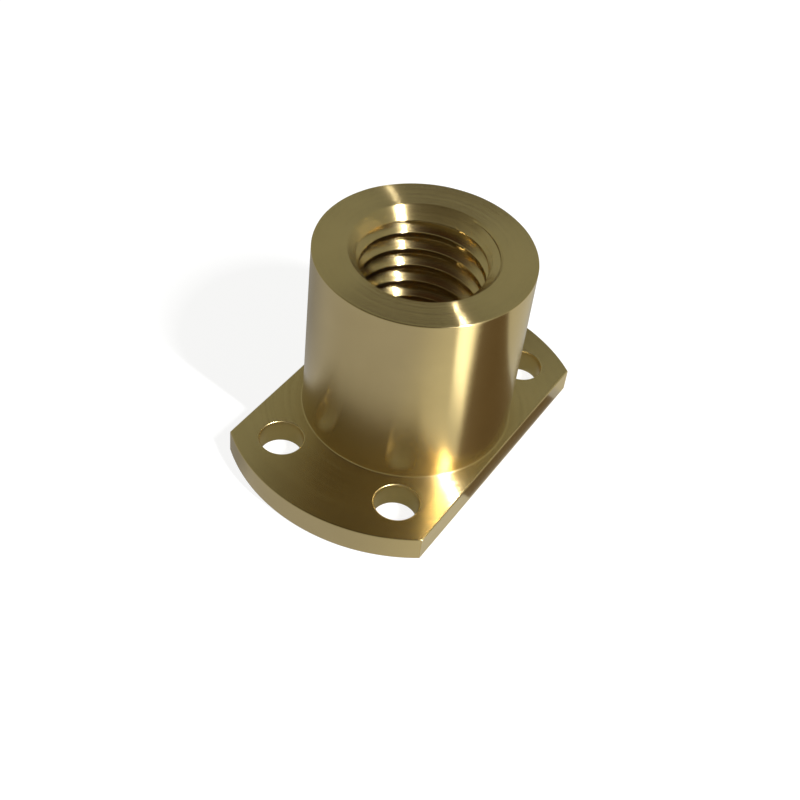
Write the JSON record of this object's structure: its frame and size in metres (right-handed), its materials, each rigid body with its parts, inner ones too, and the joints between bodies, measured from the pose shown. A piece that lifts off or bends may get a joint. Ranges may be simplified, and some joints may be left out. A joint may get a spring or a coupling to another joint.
{
  "type": "lead screw nut",
  "caption": "Flanged lead screw nut: a plain turned barrel with a screw thread right through it, on a thin flange with parallel flats and a screw hole near each corner.",
  "frame": {"origin": "centre of the flange's underside, on the screw's axis", "axes": "+Z along the screw's axis from the flange to the open end of the barrel, +X along the long side of the flange, +Y across the flats"},
  "size_m": [0.0364, 0.0224, 0.022],
  "materials": {
    "brass": "turned, satin to bright, uncoated"
  },
  "bodies": {
    "root": {"nut_body": "brass"}
  },
  "joints": []
}
